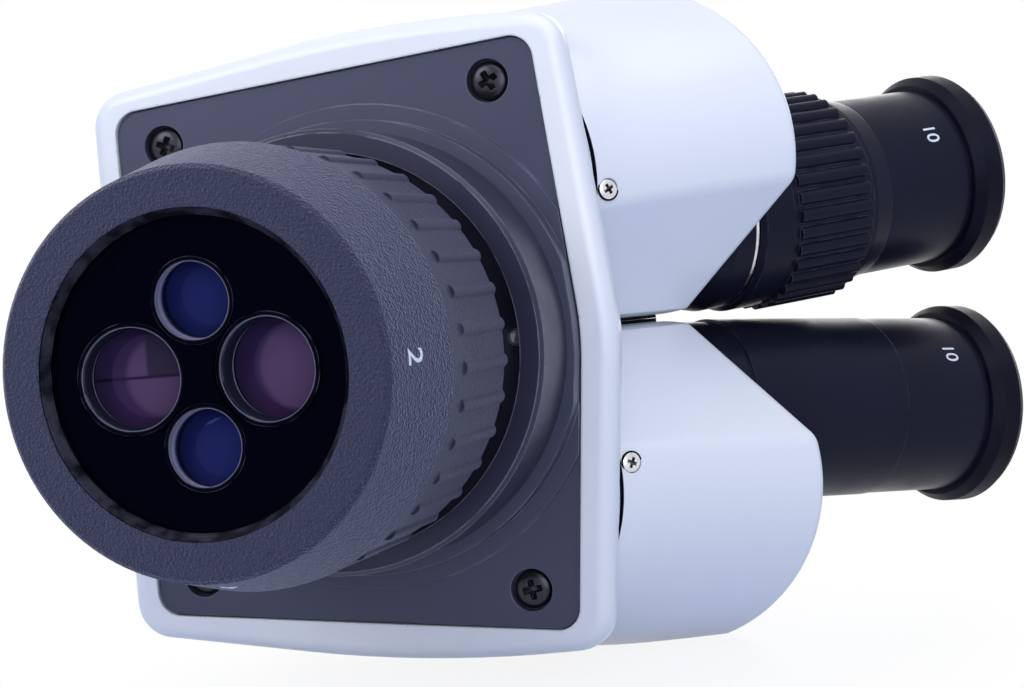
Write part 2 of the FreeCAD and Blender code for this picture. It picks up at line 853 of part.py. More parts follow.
def spacing_gear(first_tooth):
    """Toothed sector that keeps the two housings at equal and opposite angles."""
    middle_s = gear_face_s - gear_thickness / 2
    pitch_radius = pivot_reach(middle_s)
    root = pitch_radius - gear_tooth_sink
    tip = pitch_radius + gear_tooth_rise
    pitch_width = math.radians(gear_pitch_angle) * pitch_radius / 2 - gear_backlash / 2
    lean = math.tan(math.radians(gear_pressure_angle))
    root_half = pitch_width / 2 + gear_tooth_sink * lean
    tip_half = pitch_width / 2 - gear_tooth_rise * lean
    span = gear_pitch_angle * gear_tooth_count
    sector = Part.makeCylinder(root, gear_thickness, Vector(0, 0, 0), Vector(0, 0, 1), span)
    sector.rotate(Vector(0, 0, 0), Vector(0, 0, 1), first_tooth - gear_pitch_angle / 2)
    solids = [sector, cylinder(pivot_nut_radius, 0, gear_thickness)]
    for i in range(gear_tooth_count):
        points = [Vector(root - 1, -root_half, 0), Vector(root, -root_half, 0), Vector(tip, -tip_half, 0),
                  Vector(tip, tip_half, 0), Vector(root, root_half, 0), Vector(root - 1, root_half, 0)]
        tooth = Part.Face(Part.makePolygon(points + [points[0]])).extrude(Vector(0, 0, gear_thickness))
        tooth.rotate(Vector(0, 0, 0), Vector(0, 0, 1), first_tooth + gear_pitch_angle * i)
        solids.append(tooth)
    gear = joined(solids).cut(cylinder(pivot_radius + seat_gap / 2, -1, gear_thickness + 1))
    gear.translate(Vector(pivot_u, pivot_v, gear_face_s - gear_thickness))
    return tilted(gear)


def turning_prism():
    """Half-penta prism that turns the upright light path into the tube's direction."""
    lean = math.radians(tube_tilt)
    entry = turning_prism_entry
    low = Vector(0, entry / 2, 0)
    front = Vector(0, -entry / 2, 0)
    face = Vector(0, -math.sin(lean), math.cos(lean))
    exit_low = front + Vector(0, 0, turning_prism_step)
    exit_high = exit_low + Vector(0, math.cos(lean), math.sin(lean)) * entry
    top = Vector(0, entry / 2 + turning_prism_step, exit_high.z + turning_prism_step / 2)
    points = [front, exit_low, exit_high, top, low]
    prism = Part.Face(Part.makePolygon(points + [points[0]])).extrude(Vector(turning_prism_width, 0, 0))
    prism.translate(Vector(turning_prism_inner_x, 0, turning_prism_z))
    return prism


def prism_bracket():
    """Bridge on the base plate that carries both turning prisms."""
    foot_z = plate_face_z + plate_thickness + seat_gap
    top_z = turning_prism_z - seat_gap
    reach = turning_prism_inner_x + turning_prism_width
    depth = 2 * bracket_half_depth
    corner = Vector(-bracket_half_length, -bracket_half_depth, top_z - bracket_thickness)
    bridge = Part.makeBox(2 * bracket_half_length, depth, bracket_thickness, corner)
    feet = []
    for side in (-1, 1):
        x = side * (bracket_half_length - bracket_foot / 2) - bracket_foot / 2
        corner = Vector(x, -bracket_half_depth, foot_z)
        feet.append(Part.makeBox(bracket_foot, depth, top_z - foot_z, corner))
    windows = []
    for side in (-1, 1):
        windows.append(cylinder(bracket_window_radius, 0, top_z + 1, side * objective_axis_x(top_z), 0))
    return joined([bridge] + feet).cut(windows)


def objective_axis_x(z):
    return lens_circle_radius + (z - lens_plate_z) * math.tan(math.radians(tube_splay))


def right_tube():
    base = cylinder(tube_base_radius, tube_base_s, tube_step_s)
    tube = joined([base, cylinder(tube_radius, tube_step_s, tube_top_s)])
    tube = tube.cut(cylinder(tube_bore_radius, tube_base_s - 1, tube_top_s + 1))
    return tilted(tube).common(above_top_plane(tube_root_depth))


def left_tube():
    tube = ring(left_tube_radius, tube_bore_radius, tube_base_s, left_tube_top_s)
    root = ring(tube_base_radius, tube_bore_radius, tube_base_s, nut_bottom_s - nut_cone_length)
    return tilted(joined([tube, root])).common(above_top_plane(tube_root_depth))


def tube_nut():
    nut = revolved([
        (left_tube_radius + seat_gap / 2, nut_bottom_s - nut_cone_length + seat_gap),
        (tube_base_radius, nut_bottom_s - nut_cone_length + seat_gap),
        (nut_radius, nut_bottom_s),
        (nut_radius, nut_top_s),
        (left_tube_radius + seat_gap / 2, nut_top_s),
    ])
    return tilted(nut)


def bright_ring():
    bore_radius = left_tube_radius + seat_gap / 2
    return tilted(ring(bright_ring_radius, bore_radius, nut_top_s + seat_gap, bright_ring_top_s))


def dioptre_ring():
    base = dioptre_radius
    rib_root = dioptre_rib_root_radius
    pocket_s = carrier_bottom_s - dioptre_down - part_gap
    blank = revolved([
        (left_tube_radius + running_gap, dioptre_bottom_s),
        (base - dioptre_edge, dioptre_bottom_s),
        (base, dioptre_bottom_s + dioptre_edge),
        (base, dioptre_rib_start_s - dioptre_rib_lead),
        (rib_root, dioptre_rib_start_s - dioptre_rib_lead),
        (rib_root, dioptre_top_s),
        (carrier_tail_radius + running_gap, dioptre_top_s),
        (carrier_tail_radius + running_gap, pocket_s),
        (left_tube_radius + running_gap, pocket_s),
    ])
    ribs = []
    for x, y in around(dioptre_rib_count, rib_root - dioptre_rib_sink):
        ribs.append(cylinder(dioptre_rib_radius, dioptre_rib_start_s, dioptre_rib_end_s, x, y))
    core = cylinder(rib_root - 0.5, dioptre_rib_start_s - 1, dioptre_top_s + 1)
    return tilted(blank.fuse([rib.cut(core) for rib in ribs]))


def eyepiece_carrier():
    carrier = revolved([
        (tube_bore_radius, carrier_bottom_s),
        (carrier_tail_radius, carrier_bottom_s),
        (carrier_tail_radius, carrier_shoulder_s),
        (carrier_radius, carrier_shoulder_s),
        (carrier_radius, carrier_shoulder_s + carrier_land),
        (tube_radius, tube_top_s),
        (tube_bore_radius, tube_top_s),
    ])
    return tilted(carrier)


def eyepiece_barrel():
    seat_s = tube_top_s + seat_gap
    lens_seat_s = eyepiece_top_s - eye_lens_thickness - lens_seat_depth
    barrel = revolved([
        (eyepiece_bore_radius, seat_s - eyepiece_insert_length),
        (insert_radius, seat_s - eyepiece_insert_length),
        (insert_radius, seat_s),
        (eyepiece_radius, seat_s),
        (eyepiece_radius, cup_bottom_s),
        (cup_seat_radius, cup_bottom_s),
        (cup_seat_radius, eyepiece_top_s),
        (eye_lens_radius + seat_gap, eyepiece_top_s),
        (eye_lens_radius + seat_gap, lens_seat_s),
        (eyepiece_bore_radius, lens_seat_s),
    ])
    return tilted(barrel)


def eyecup():
    cup = revolved([
        (cup_seat_radius + seat_gap, cup_bottom_s + seat_gap),
        (cup_neck_radius, cup_bottom_s + seat_gap),
        (cup_radius, cup_bottom_s + cup_flare_length),
        (cup_radius, cup_top_s - cup_round_length),
        (cup_radius - cup_round_depth, cup_top_s),
        (cup_mouth_radius, cup_top_s),
        (cup_seat_radius - cup_inner_lip, eyepiece_top_s + seat_gap),
        (cup_seat_radius + seat_gap, eyepiece_top_s + seat_gap),
    ])
    return tilted(cup)


def round_lens(radius, thickness, start):
    ball = (radius ** 2 + lens_bulge ** 2) / (2 * lens_bulge)
    lens = cylinder(radius, start, start + thickness)
    lens = lens.common(Part.makeSphere(ball, Vector(0, 0, start + ball)))
    return tilted(lens.common(Part.makeSphere(ball, Vector(0, 0, start + thickness - ball))))


def eye_lens():
    return round_lens(eye_lens_radius, eye_lens_thickness, eyepiece_top_s - eye_lens_thickness)


def field_lens():
    start = tube_top_s - eyepiece_insert_length + field_lens_rise
    return round_lens(eyepiece_bore_radius - seat_gap, field_lens_thickness, start)


def field_stop():
    top_s = field_stop_s + field_stop_thickness
    return tilted(ring(eyepiece_bore_radius - seat_gap, field_stop_radius, field_stop_s, top_s))


def main():
    save("body_casting", body_casting())
    save("base_plate", base_plate())
    save("base_plate_screws", base_plate_screws())
    save("mounting_collar", mounting_collar())
    save("collar_screws", collar_screws())
    save("detent_ball", detent_ball())
    save("detent_band", detent_band())
    save("prism_bracket", prism_bracket())
    save("turret_hub", turret_hub())
    save("turret_retaining_ring", turret_retaining_ring())
    save("turret_grip_ring", turret_grip_ring())
    save("turret_sleeve", turret_sleeve())
    save("lens_plate", lens_plate())
    low = (low_lens_thickness, low_lens_setback, 0)
    high = (high_lens_thickness, high_lens_setback, 90)
    save("low_power_cells", lens_cells(low_aperture_radius, low_cell_length, *low))
    save("high_power_cells", lens_cells(high_aperture_radius, high_cell_length, *high))
    save("low_power_lenses", lenses(low_aperture_radius, *low))
    save("high_power_lenses", lenses(high_aperture_radius, *high))
    save("left_spacing_gear", mirrored(spacing_gear(gear_first_angle - gear_pitch_angle / 2)))
    save("right_spacing_gear", spacing_gear(gear_first_angle))
    save("right_tube", right_tube())
    save("left_tube", mirrored(left_tube()))
    save("left_tube_nut", mirrored(tube_nut()))
    save("left_bright_ring", mirrored(bright_ring()))
    save("dioptre_ring", mirrored(dioptre_ring()))
    save("eyepiece_carrier", mirrored(eyepiece_carrier()))
    both = {
        "turning_prism": turning_prism(),
        "pivot_sleeve": pivot_sleeve(),
        "pivot_nut": pivot_nut(),
        "prism_base": prism_base(),
        "prism_plate": prism_plate(),
        "porro_prisms": porro_prisms(),
        "housing": housing(),
        "housing_screw": housing_screw(0.0, 0.0),
        "eyepiece_barrel": eyepiece_barrel(),
        "field_lens": field_lens(),
        "field_stop": field_stop(),
        "eye_lens": eye_lens(),
        "eyecup": eyecup(),
    }
    for name, shape in both.items():
        save("right_" + name, shape)
        save("left_" + name, mirrored(shape))


main()
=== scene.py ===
import json
import math
from collections import namedtuple

import bmesh
import bpy
from mathutils import Matrix, Vector

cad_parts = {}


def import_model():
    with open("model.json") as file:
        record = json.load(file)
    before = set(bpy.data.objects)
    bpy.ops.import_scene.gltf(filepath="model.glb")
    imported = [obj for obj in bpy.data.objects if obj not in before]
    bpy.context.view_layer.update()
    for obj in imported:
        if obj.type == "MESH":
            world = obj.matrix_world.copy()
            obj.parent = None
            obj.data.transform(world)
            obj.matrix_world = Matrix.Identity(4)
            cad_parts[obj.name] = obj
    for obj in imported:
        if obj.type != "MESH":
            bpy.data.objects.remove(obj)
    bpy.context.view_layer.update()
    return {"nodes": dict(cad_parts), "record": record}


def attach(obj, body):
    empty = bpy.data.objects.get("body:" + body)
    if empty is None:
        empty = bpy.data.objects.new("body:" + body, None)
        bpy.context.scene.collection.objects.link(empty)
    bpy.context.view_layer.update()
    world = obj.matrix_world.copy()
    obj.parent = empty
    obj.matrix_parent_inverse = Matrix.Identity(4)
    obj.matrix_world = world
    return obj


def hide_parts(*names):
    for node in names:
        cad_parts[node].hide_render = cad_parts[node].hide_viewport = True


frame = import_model()
nodes = frame["nodes"]

# Lengths are in millimetres and angles in degrees, except where a comment says metres
MM = 0.001

# Camera, fitted to the photograph: its lens in pixels, its place in metres and its axes
PHOTO_WIDTH = 1024.0
PHOTO_HEIGHT = 687.0
FOCAL_LENGTH_PIXELS = 2221.24
LENS_AXIS_PIXEL = (513.84, 358.05)
SENSOR_WIDTH = 36.0
CAMERA_PLACE = (-0.0108, -0.1495, -0.4059)
CAMERA_RIGHT = Vector((0.0871, -0.9573, 0.2757))
CAMERA_UP = Vector((-0.9956, -0.0739, 0.0580))
CAMERA_AHEAD = Vector((0.0352, 0.2795, 0.9595))
CAMERA_CLIP_START, CAMERA_CLIP_END = 0.01, 50.0

# Right tube's frame: u outboard, v up and back, s along the tube; the left side is its mirror image
SIDES = ((1, "right"), (-1, "left"))
TUBE_FOOT = Vector((14.0, 17.54, 5.0))
TUBE_TILT = 45.0
TUBE_SPLAY = 4.44

# Housing, in its tube's frame: centre and radius of its round front, which widens as s rises
HOUSING_CENTRE_U, HOUSING_CENTRE_V = 14.0, -7.0
HOUSING_FOOT_S = 51.6
HOUSING_FOOT_RADIUS = 33.3
HOUSING_TAPER = 0.06
HOUSING_FILLET = 1.2

# Screw: its outline of (radius, height) from the tip to the middle of the head, and the cross in
# the head by its reach, width, depth and the height of its mouth
Screw = namedtuple("Screw", "outline reach width depth mouth")
LATHE_CORNERS, SCREW_CORNERS = 96, 48
CROSS_RISE = 0.4
SMOOTH_ANGLE = 35.0

PLATE_SCREW = Screw(
    ((0, -8.8), (1.88, -8.8), (1.88, 0.0), (3.8, 0.0), (3.8, 1.0), (3.65, 1.45), (3.25, 1.80),
     (2.6, 2.04), (1.8, 2.17), (0.8, 2.2), (0, 2.2)), reach=2.1, width=1.3, depth=1.8, mouth=2.2)
PLATE_SCREW_SEAT_Z = 7.6
PLATE_SCREW_PLACES = (  # x, y and the turn of the cross
    (43.5, 39.2, 12), (-43.5, 39.2, -20), (49.3, -29.3, 8), (-49.3, -29.3, 28))

HOUSING_SCREW = Screw(
    ((0, -6.0), (1.0, -6.0), (1.0, -1.02), (2.0, -0.02), (1.96, 0.06), (1.75, 0.16),
     (1.15, 0.28), (0.55, 0.34), (0, 0.35)), reach=1.15, width=0.66, depth=1.3, mouth=0.3)
HOUSING_SCREW_U, HOUSING_SCREW_S = 8.5, 54.8
HOUSING_SCREW_FACE_RADIUS = 33.49
HOUSING_SCREW_TURNS = {"right": 20, "left": -25}
# Dark ring round each housing screw's head, painted shade in the gap round the head: outer and
# inner radius, top and bottom
SCREW_SHADE_OUTER, SCREW_SHADE_INNER, SCREW_SHADE_TOP, SCREW_SHADE_BOTTOM = 2.32, 2.01, 0.05, -0.3

# Dark line at a housing's foot, a painted shadow in place of the shaded gap there: the angles of
# its ends, its height in the middle and at its ends, its start above the foot, and how far its two
# faces stand off the housing's surface
FOOT_SHADOW_START, FOOT_SHADOW_END = -66.0, -112.0
FOOT_SHADOW_SWELL, FOOT_SHADOW_LEAST = 0.95, 0.12
FOOT_SHADOW_RISE = 0.02
FOOT_SHADOW_LIFTS = (0.04, -0.20)
FOOT_SHADOW_COLUMNS, FOOT_SHADOW_ROWS = 40, 8

# Dark strip on a housing's inner side, painted shade in the gap between the housings: its two faces
# by their x, and its edges in v and s
GAP_SHADE_FACES_X = (0.05, 0.80)
GAP_SHADE_EDGES_V = (-6.5, -3.0)
GAP_SHADE_FOOT_S = 52.6
GAP_SHADE_TOP_S, GAP_SHADE_TOP_SLOPE = 79.4, 0.47

# Objectives: label, aperture radius, setback of the lens and the angle of the first of each pair
OBJECTIVES = (("low", 6.5, 3.8, 0), ("high", 8.6, 4.8, 90))
LENS_CIRCLE = 11.97
LENS_PLATE_Z = -75.4

# Rings in the apertures: how far each stands in from the aperture, and where it starts and ends
BORE_GAP = 0.02
RIM_INSET, RIM_START, RIM_END = 0.13, 0.12, 0.4
LINING_INSET, LINING_START, LINING_PAST_LENS = 0.1, 0.5, 0.6
LOCK_INSET, LOCK_START, LOCK_SHORT_OF_LENS = 0.5, 0.7, 0.1
LOCK_TURNS, LOCK_FIRST_TURN, LOCK_PITCH = 3, 1.0, 1.05
LOCK_CREST_START, LOCK_CREST_END, LOCK_TURN_END = 0.2, 0.55, 0.8
LENS_EDGE_INSET, LENS_EDGE_START, LENS_EDGE_END = 0.28, 0.45, 0.15

# Painted into the large lenses: reflections of the prism faces behind the glass, shade in a dark
# corner and a dark line
PRISM_RADIUS = 8.8
PRISM_SHIFTS = (4.0, 4.6)
PRISM_REFLECTION_COLOUR = (0.078, 0.045, 0.105)
CORNER_START, CORNER_FULL = 0.4, 1.0
CORNER_SHADE_COLOUR = (0.022, 0.018, 0.036)
LINE_REACH = 0.4
LINE_COLOUR = (0.010, 0.007, 0.022)
SOFT_EDGE = 0.1

# Turned ridges between the mouth and the lip of the turret sleeve, each given by (radius, z)
SLEEVE_MOUTH, SLEEVE_LIP = (27.03, -78.25), (25.8, -76.44)
RIDGES = 6
RIDGE_FLANK = 0.02
RIDGE_CUT = 0.18
RIDGE_CUT_OUT, RIDGE_CUT_UP = 0.6, 0.8
RIDGE_BACK, RIDGE_LIP_WALL, RIDGE_TOP = 0.01, 0.04, 0.03
RIDGE_CORNERS = 160

# Numbers: on the turret's cone, given by (radius, z) at its front and rear, and on the eyepieces
SLEEVE_FRONT, SLEEVE_REAR = (34.0, -77.6), (38.1, -58.85)
SLEEVE_NUMBERS = (("2", -90.0), ("4", 0.0))
SLEEVE_NUMBER_Z, SLEEVE_NUMBER_HEIGHT = -70.7, 4.4
BARREL_RADIUS = 20.0
EYEPIECE_NUMBER = "10"
EYEPIECE_NUMBER_PLACES = ((-1, "left", -62.0), (1, "right", -126.0))
EYEPIECE_NUMBER_S, EYEPIECE_NUMBER_HEIGHT = 154.6, 3.4
FONT_SIZE_PER_HEIGHT = 1.38
NUMBER_RELIEF, NUMBER_BOLDNESS = 0.03, 0.04
NUMBER_STRIP = 0.3

# Floor that the head lies on, in metres: it fades to white away from the object
FLOOR_X = 0.0668
FLOOR_REACH = 6.0
FLOOR_COLOUR = (0.46, 0.55, 0.76)
FLOOR_ROUGHNESS = 0.4
FLOOR_NEAR_WHITE = 0.88
FLOOR_FADE_START, FLOOR_FADE_END = 0.06, 0.13
OBJECT_MIDDLE = (0.0, -0.03, 0.03)

# Light: the sky, and lamps by name, place and width in metres, and power in watts
SKY_COLOUR, SKY_LEVEL = (0.48, 0.64, 1.0), 0.38
LAMP_COLOUR = (1.0, 0.985, 0.965)
LAMPS = (
    ("key", (-0.42, -0.18, -0.14), 0.5, 1.08),
    ("front", (-0.08, -0.40, -0.68), 0.6, 2.5),
    ("rear", (-0.35, 0.60, 0.45), 0.7, 2.4),
    ("above", (-0.15, -0.15, 0.80), 0.6, 2.0),
    ("sheen", (-0.28, 0.24, -0.42), 0.3, 1.0),
)

# Tints of the gloss and of the sheen on black finishes
BLACK_GLOSS = (0.72, 0.76, 1.0, 1)
LAVENDER = (0.70, 0.72, 1.0, 1)

# What the material layers share
BEVEL_SAMPLES = 4
RECESS_SAMPLES = 6
CELL_SMOOTHNESS = 0.6
EDGE_FLAT, EDGE_SHARP = 0.99, 0.80
BALL_OUTSIDE, BALL_INSIDE = 1.06, 0.96
RECESS_OPEN, RECESS_DEEP = 0.80, 0.35
GLOSS_LOW, GLOSS_HIGH = 0.3, 0.7

# Looks of material slots and of single nodes that aren't named after their slot
SLOT_LOOKS = {"coated_glass_blue": "blue_glass", "coated_glass_violet": "violet_glass"}
NODE_LOOKS = {
    "turret_grip_ring": "grip_black",
    "low_power_cells": "cell_black",
    "high_power_cells": "cell_black",
    "mounting_collar": "collar_black",
}


def make_camera():
    data = bpy.data.cameras.new("camera")
    data.sensor_width = SENSOR_WIDTH
    data.lens = FOCAL_LENGTH_PIXELS * SENSOR_WIDTH / PHOTO_WIDTH
    data.shift_x = -(LENS_AXIS_PIXEL[0] - PHOTO_WIDTH / 2) / PHOTO_WIDTH
    data.shift_y = (LENS_AXIS_PIXEL[1] - PHOTO_HEIGHT / 2) / PHOTO_WIDTH
    data.clip_start = CAMERA_CLIP_START
    data.clip_end = CAMERA_CLIP_END
    camera = bpy.data.objects.new("camera", data)
    turn = Matrix((CAMERA_RIGHT, CAMERA_UP, -CAMERA_AHEAD)).transposed()
    camera.matrix_world = Matrix.Translation(CAMERA_PLACE) @ turn.to_4x4()
    bpy.context.scene.collection.objects.link(camera)
    bpy.context.scene.camera = camera


# Places in the CAD's frame
def tube_axes(side):
    """The foot of a side's tube and the directions of u, v and s, in metres."""
    tilt, splay = math.radians(TUBE_TILT), math.radians(TUBE_SPLAY)
    along = Vector((math.sin(splay), -math.cos(splay) * math.cos(tilt),
                    math.cos(splay) * math.sin(tilt)))
    back = Vector((0, math.sin(tilt), math.cos(tilt)))
    out = back.cross(along)
    mirror = Vector((side, 1, 1))
    return TUBE_FOOT * MM * mirror, out * mirror, back * mirror, along * mirror


def tube_point(side, u, v, s):
    foot, out, back, along = tube_axes(side)
    return foot + out * (u * MM) + back * (v * MM) + along * (s * MM)


def housing_radius(s):
    return HOUSING_FOOT_RADIUS + HOUSING_TAPER * (s - HOUSING_FOOT_S)


def shifted(x=0.0, y=0.0, z=0.0):
    return Matrix.Translation((x * MM, y * MM, z * MM))


def objective_place(angle):
    """A frame at an aperture, with Z along the objective's axis."""
    turn = Matrix.Rotation(math.radians(angle), 4, "Z")
    lean = Matrix.Rotation(math.radians(TUBE_SPLAY), 4, "Y")
    return turn @ shifted(LENS_CIRCLE, 0, LENS_PLATE_Z) @ lean


# Shader nodes
def set_inputs(node, values):
    """Sets inputs by name, written with _ for each space."""
    for key, value in values.items():
        node.inputs[key.replace("_", " ")].default_value = value


def add_node(tree, kind, **values):
    node = tree.nodes.new("ShaderNode" + kind)
    set_inputs(node, values)
    return node


def combine(tree, operation, first, second):
    node = add_node(tree, "Math")
    node.operation = operation
    tree.links.new(first, node.inputs[0])
    tree.links.new(second, node.inputs[1])
    return node.outputs["Value"]


def distance(tree, coords, centre):
    node = add_node(tree, "VectorMath")
    node.operation = "DISTANCE"
    node.inputs[1].default_value = centre
    tree.links.new(coords, node.inputs[0])
    return node.outputs["Value"]


def mix_shaders(tree, share, first, second):
    node = add_node(tree, "MixShader")
    tree.links.new(share, node.inputs["Fac"])
    tree.links.new(first, node.inputs[1])
    tree.links.new(second, node.inputs[2])
    return node.outputs["Shader"]


class Shade:
    """A Principled material that is built up from procedural layers. Its lengths are in metres."""

    def __init__(self, name, colour, rough, **sockets):
        self.material = bpy.data.materials.new(name)
        self.material.use_nodes = True
        self.tree = self.material.node_tree
        self.shader = self.tree.nodes["Principled BSDF"]
        self.colour = colour
        self.normal = None
        set_inputs(self.shader, {"Base_Color": (*colour, 1), "Roughness": rough, **sockets})
        self.coords = add_node(self.tree, "TexCoord").outputs["Object"]

    def link(self, start, end):
        self.tree.links.new(start, end)

    # Patterns and masks
    def noise(self, scale, detail, distortion=0.0):
        node = add_node(self.tree, "TexNoise", Scale=scale, Detail=detail, Distortion=distortion)
        self.link(self.coords, node.inputs["Vector"])
        return node.outputs["Fac"]

    def cells(self, scale):
        node = add_node(self.tree, "TexVoronoi")
        node.feature = "SMOOTH_F1"
        set_inputs(node, {"Scale": scale, "Smoothness": CELL_SMOOTHNESS})
        self.link(self.coords, node.inputs["Vector"])
        return node.outputs["Distance"]

    def axis(self, name):
        node = add_node(self.tree, "SeparateXYZ")
        self.link(self.coords, node.inputs["Vector"])
        return node.outputs[name]

    def ramp(self, value, low, high, out_low=0.0, out_high=1.0):
        node = add_node(self.tree, "MapRange",
                        From_Min=low, From_Max=high, To_Min=out_low, To_Max=out_high)
        self.link(value, node.inputs["Value"])
        return node.outputs["Result"]

    def times(self, first, second):
        return combine(self.tree, "MULTIPLY", first, second)

    def bevelled(self, radius):
        node = add_node(self.tree, "Bevel", Radius=radius)
        node.samples = BEVEL_SAMPLES
        return node.outputs["Normal"]

    def edge(self, radius):
        """1 on a sharp edge, 0 on a flat face."""
        face = add_node(self.tree, "NewGeometry")
        dot = add_node(self.tree, "VectorMath")
        dot.operation = "DOT_PRODUCT"
        self.link(self.bevelled(radius), dot.inputs[0])
        self.link(face.outputs["Normal"], dot.inputs[1])
        return self.ramp(dot.outputs["Value"], EDGE_FLAT, EDGE_SHARP)

    def near(self, centre, radius):
        """1 inside a ball, 0 outside it, with a soft edge."""
        away = distance(self.tree, self.coords, centre)
        return self.ramp(away, radius * BALL_OUTSIDE, radius * BALL_INSIDE)

    def recess(self, reach):
        """1 deep in a recess, 0 on an open face."""
        node = add_node(self.tree, "AmbientOcclusion", Distance=reach)
        node.samples = RECESS_SAMPLES
        return self.ramp(node.outputs["AO"], RECESS_OPEN, RECESS_DEEP)

    # Layers
    def tint(self, mask, colour):
        """Blends the base colour toward another where the mask is 1."""
        socket = self.shader.inputs["Base Color"]
        mix = self.tree.nodes.new("ShaderNodeMix")
        mix.data_type = "RGBA"
        if socket.links:
            self.link(socket.links[0].from_socket, mix.inputs["A"])
        else:
            mix.inputs["A"].default_value = (*self.colour, 1)
        mix.inputs["B"].default_value = (*colour, 1)
        self.link(mask, mix.inputs["Factor"])
        self.link(mix.outputs["Result"], socket)

    def mottle(self, pattern, low, high, share, colour):
        """Tints up to a share where the pattern rises from low to high."""
        self.tint(self.ramp(pattern, low, high, 0.0, share), colour)

    def wear_and_highlight(self, pattern, low, high, radius, colour):
        """Tints the edges, broken up by a pattern: wear on some finishes, a painted highlight on
        others.
        """
        self.tint(self.times(self.edge(radius), self.ramp(pattern, low, high)), colour)

    def roughen(self, pattern, low, high):
        self.link(self.ramp(pattern, GLOSS_LOW, GLOSS_HIGH, low, high),
                  self.shader.inputs["Roughness"])

    def rounded(self, radius):
        self.set_normal(self.bevelled(radius))

    def bump(self, pattern, depth, strength):
        node = add_node(self.tree, "Bump", Distance=depth, Strength=strength)
        self.link(pattern, node.inputs["Height"])
        if self.normal is not None:
            self.link(self.normal, node.inputs["Normal"])
        self.set_normal(node.outputs["Normal"])

    def set_normal(self, normal):
        self.normal = normal
        self.link(normal, self.shader.inputs["Normal"])


# Finishes
def scaled(colour, factor):
    return tuple(c * factor for c in colour)


def white_paint():
    shade = Shade("white_paint", (0.81, 0.83, 0.885), 0.34, Coat_Weight=0.2, Coat_Roughness=0.12)
    shade.rounded(0.0007)
    shade.mottle(shade.noise(12.0, 2.0), low=0.35, high=0.65, share=0.06, colour=(0.72, 0.76, 0.86))
    shade.wear_and_highlight(shade.noise(900.0, 4.0), low=0.64, high=0.70, radius=0.0008,
               colour=(0.12, 0.13, 0.18))
    shade.bump(shade.noise(650.0, 2.0), depth=0.00004, strength=0.3)
    shade.roughen(shade.noise(60.0, 3.0), low=0.30, high=0.38)
    return shade


def plate_black():
    shade = Shade("plate_black", (0.046, 0.047, 0.082), 0.34,
                  Specular_IOR_Level=0.45, Specular_Tint=BLACK_GLOSS)
    shade.rounded(0.0004)
    shade.mottle(shade.noise(24.0, 3.0), low=0.35, high=0.7, share=0.35,
                 colour=(0.064, 0.066, 0.115))
    # Lighter along the edges, broken up by a pattern
    shade.wear_and_highlight(shade.noise(120.0, 2.0), low=0.35, high=0.6, radius=0.0004,
               colour=(0.26, 0.26, 0.36))
    shade.bump(shade.noise(1500.0, 2.0), depth=0.00002, strength=0.3)
    shade.roughen(shade.noise(90.0, 4.0), low=0.30, high=0.44)
    return shade


def wrinkle_black():
    shade = Shade("wrinkle_black", (0.032, 0.033, 0.064), 0.56,
                  Specular_IOR_Level=0.16, Specular_Tint=BLACK_GLOSS,
                  Sheen_Weight=0.36, Sheen_Roughness=0.45, Sheen_Tint=LAVENDER)
    shade.rounded(0.0006)
    fine = shade.noise(2600.0, 2.0, distortion=0.8)
    shade.mottle(fine, low=0.45, high=0.75, share=0.6, colour=(0.060, 0.062, 0.100))
    shade.bump(shade.cells(2100.0), depth=0.00040, strength=1.0)
    shade.bump(fine, depth=0.00026, strength=1.0)
    shade.roughen(shade.noise(700.0, 2.0), low=0.48, high=0.62)
    return shade


def collar_black():
    shade = Shade("collar_black", (0.020, 0.021, 0.042), 0.32,
                  Specular_IOR_Level=0.40, Specular_Tint=BLACK_GLOSS)
    shade.rounded(0.0003)
    shade.mottle(shade.noise(30.0, 3.0), low=0.35, high=0.7, share=0.4,
                 colour=(0.034, 0.035, 0.066))
    # A painted highlight: lighter along the collar's edges, broken up by a pattern
    shade.wear_and_highlight(shade.noise(160.0, 2.0), low=0.30, high=0.45, radius=0.0004,
               colour=(0.42, 0.42, 0.54))
    shade.bump(shade.noise(1500.0, 2.0), depth=0.00002, strength=0.3)
    shade.roughen(shade.noise(90.0, 4.0), low=0.26, high=0.40)
    return shade


def grip_black():
    shade = Shade("grip_black", (0.020, 0.021, 0.048), 0.50,
                  Specular_IOR_Level=0.16, Specular_Tint=BLACK_GLOSS,
                  Sheen_Weight=0.12, Sheen_Roughness=0.45, Sheen_Tint=LAVENDER)
    shade.rounded(0.0004)
    shade.bump(shade.cells(2100.0), depth=0.00010, strength=0.8)
    fine = shade.noise(1700.0, 3.0, distortion=0.5)
    shade.mottle(shade.noise(60.0, 3.0), low=0.4, high=0.7, share=0.5, colour=(0.038, 0.039, 0.072))
    shade.wear_and_highlight(shade.noise(300.0, 2.0), low=0.4, high=0.6, radius=0.0004, colour=(0.12, 0.12, 0.16))
    shade.bump(fine, depth=0.00009, strength=0.5)
    shade.roughen(fine, low=0.44, high=0.58)
    return shade


def satin_black(name, colour, rough, level):
    shade = Shade(name, colour, rough, Specular_IOR_Level=level, Specular_Tint=BLACK_GLOSS)
    shade.rounded(0.0003)
    shade.mottle(shade.noise(40.0, 3.0), low=0.4, high=0.7, share=0.4, colour=scaled(colour, 1.6))
    # Lighter along the edges, broken up by a pattern
    shade.wear_and_highlight(shade.noise(250.0, 2.0), low=0.4, high=0.6, radius=0.0003, colour=(0.12, 0.12, 0.17))
    shade.bump(shade.noise(2400.0, 2.0), depth=0.00002, strength=0.3)
    shade.roughen(shade.noise(120.0, 3.0), low=rough - 0.05, high=rough + 0.08)
    return shade


